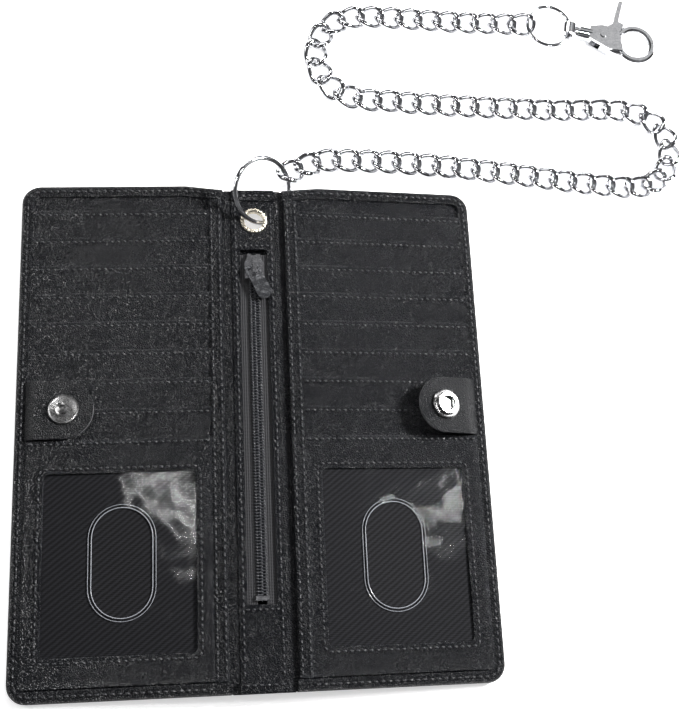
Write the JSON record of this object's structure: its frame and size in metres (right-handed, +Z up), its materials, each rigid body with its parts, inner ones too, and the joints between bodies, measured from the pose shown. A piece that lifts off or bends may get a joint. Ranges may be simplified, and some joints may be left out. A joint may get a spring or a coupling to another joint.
{
  "type": "chain wallet",
  "caption": "Long leather bifold wallet lying open, with card pockets, clear ID windows, a zipped coin spine, closing snap tabs, and a curb chain to a swivel trigger hook.",
  "frame": {"origin": "middle of the flat underside of the spine, on the surface that the open wallet lies on", "axes": "+X across the open wallet to the right half, +Y up the spine to the eyelet end, +Z up"},
  "size_m": [0.3151, 0.3298, 0.0212],
  "materials": {
    "cover_leather": "smooth black cowhide, semi-gloss",
    "pocket_leather": "smooth black cowhide, semi-gloss, fine grain",
    "tab_leather": "black leather with raw grey cut edge",
    "board": "black backing cloth on board",
    "clear_sheet": "clear flexible vinyl",
    "twill": "black diagonal twill",
    "zip_tape": "black woven polyester tape and thread",
    "zip_coil": "black nylon coil",
    "zip_metal": "polished die-cast zinc, dark nickel",
    "pull_metal": "polished gunmetal",
    "eyelet_nickel": "pressed nickel, warm",
    "snap_nickel": "pressed nickel, slightly dull",
    "spring_steel": "bright spring wire",
    "chain_chrome": "bright chrome plate",
    "hook_chrome": "bright chrome plate on die-cast zinc"
  },
  "bodies": {
    "spine": {"cover_spine": "cover_leather", "zip_panel": "pocket_leather", "zip_tape_left": "zip_tape", "zip_tape_right": "zip_tape", "zip_teeth_left": "zip_coil", "zip_teeth_right": "zip_coil", "zip_stops": "zip_metal", "pouch_lining": "twill", "eyelet": "eyelet_nickel", "eyelet_washer": "eyelet_nickel"},
    "zip_slider": {"zip_slider": "zip_metal"},
    "zip_pull": {"zip_pull": "pull_metal"},
    "left_half": {"left_cover": "cover_leather", "left_pocket_board": "board", "left_edge_strip": "cover_leather", "left_id_frame": "pocket_leather", "left_id_window": "clear_sheet", "left_id_backing": "twill", "left_card_pocket_1": "pocket_leather", "left_card_pocket_2": "pocket_leather", "left_card_pocket_3": "pocket_leather", "left_card_pocket_4": "pocket_leather", "left_card_pocket_5": "pocket_leather", "left_card_pocket_6": "pocket_leather", "left_card_pocket_7": "pocket_leather", "left_card_pocket_8": "pocket_leather"},
    "right_half": {"right_cover": "cover_leather", "right_pocket_board": "board", "right_edge_strip": "cover_leather", "right_id_frame": "pocket_leather", "right_id_window": "clear_sheet", "right_id_backing": "twill", "right_card_pocket_1": "pocket_leather", "right_card_pocket_2": "pocket_leather", "right_card_pocket_3": "pocket_leather", "right_card_pocket_4": "pocket_leather", "right_card_pocket_5": "pocket_leather", "right_card_pocket_6": "pocket_leather", "right_card_pocket_7": "pocket_leather", "right_card_pocket_8": "pocket_leather"},
    "left_tab": {"left_tab": "tab_leather", "left_stud": "snap_nickel", "left_stud_rivet": "snap_nickel"},
    "right_tab": {"right_tab": "tab_leather", "right_socket": "snap_nickel", "right_socket_spring": "spring_steel", "right_socket_rivet": "snap_nickel"},
    "wallet_ring": {"wallet_ring": "chain_chrome"},
    "chain_1": {"chain_1": "chain_chrome"},
    "chain_2": {"chain_2": "chain_chrome"},
    "chain_3": {"chain_3": "chain_chrome"},
    "chain_4": {"chain_4": "chain_chrome"},
    "chain_5": {"chain_5": "chain_chrome"},
    "chain_6": {"chain_6": "chain_chrome"},
    "hook_ring": {"hook_ring": "chain_chrome"},
    "hook_eye": {"hook_swivel_eye": "hook_chrome"},
    "hook": {"hook_body": "hook_chrome", "hook_pin": "hook_chrome", "hook_spring": "spring_steel"},
    "trigger": {"hook_trigger": "hook_chrome"}
  },
  "joints": [
    {"name": "left_fold", "type": "hinge", "parent": "spine", "child": "left_half", "pos_m": [-0.013, 0, 0.007], "axis": [0, 1, 0], "range_deg": [0, 93]},
    {"name": "right_fold", "type": "hinge", "parent": "spine", "child": "right_half", "pos_m": [0.013, 0, 0.007], "axis": [0, -1, 0], "range_deg": [0, 93]},
    {"name": "left_tab_lift", "type": "hinge", "parent": "left_half", "child": "left_tab", "pos_m": [-0.09699, 0.0075, 0.00424], "axis": [0, 1, 0], "range_deg": [-100, 0]},
    {"name": "right_tab_lift", "type": "hinge", "parent": "right_half", "child": "right_tab", "pos_m": [0.09699, 0.0075, 0.00424], "axis": [0, -1, 0], "range_deg": [-89, 11]},
    {"name": "zip_slide", "type": "slide", "parent": "spine", "child": "zip_slider", "axis": [0, -1, 0], "range_m": [0, 0.137]},
    {"name": "zip_pull_swing", "type": "hinge", "parent": "zip_slider", "child": "zip_pull", "pos_m": [-0.00133, 0.0714, 0.00985], "axis": [-0.9063, -0.4226, 0], "range_deg": [0, 60]},
    {"name": "ring_turn", "type": "hinge", "parent": "spine", "child": "wallet_ring", "pos_m": [0.0005, 0.0945, 0.00645], "axis": [0, 0, 1], "range_deg": [0, 5]},
    {"name": "chain_bend_1", "type": "hinge", "parent": "wallet_ring", "child": "chain_1", "pos_m": [0.0156, 0.1172, 0.009], "axis": [0, 0, 1], "range_deg": [0, 8]},
    {"name": "chain_bend_2", "type": "hinge", "parent": "chain_1", "child": "chain_2", "pos_m": [0.09775, 0.12484, 0.00325], "axis": [0, 0, 1], "range_deg": [-8, 8]},
    {"name": "chain_bend_3", "type": "hinge", "parent": "chain_2", "child": "chain_3", "pos_m": [0.18371, 0.11668, 0.00325], "axis": [0, 0, -1], "range_deg": [-8, 8]},
    {"name": "chain_bend_4", "type": "hinge", "parent": "chain_3", "child": "chain_4", "pos_m": [0.16718, 0.15768, 0.00325], "axis": [0, 0, 1], "range_deg": [-8, 8]},
    {"name": "chain_bend_5", "type": "hinge", "parent": "chain_4", "child": "chain_5", "pos_m": [0.08081, 0.15847, 0.00325], "axis": [0, 0, -1], "range_deg": [-8, 8]},
    {"name": "chain_bend_6", "type": "hinge", "parent": "chain_5", "child": "chain_6", "pos_m": [0.04651, 0.20222, 0.00325], "axis": [0, 0, 1], "range_deg": [-6, 8]},
    {"name": "hook_ring_turn", "type": "hinge", "parent": "chain_6", "child": "hook_ring", "pos_m": [0.14088, 0.20549, 0.0048], "axis": [0, 0, -1], "range_deg": [-8, 8]},
    {"name": "hook_tilt", "type": "hinge", "parent": "hook_ring", "child": "hook_eye", "pos_m": [0.1617, 0.2014, 0.0048], "axis": [-0.1942, -0.981, 0], "range_deg": [0, 60]},
    {"name": "hook_swivel", "type": "hinge", "parent": "hook_eye", "child": "hook", "pos_m": [0.16987, 0.19978, 0.0048], "axis": [0.981, -0.1942, 0], "continuous": true},
    {"name": "trigger_press", "type": "hinge", "parent": "hook", "child": "trigger", "pos_m": [0.17854, 0.19807, 0.0048], "axis": [0, 0, 1], "range_deg": [0, 18], "stiffness_Nm_per_rad": 0.05, "springref_deg": -17.19}
  ]
}
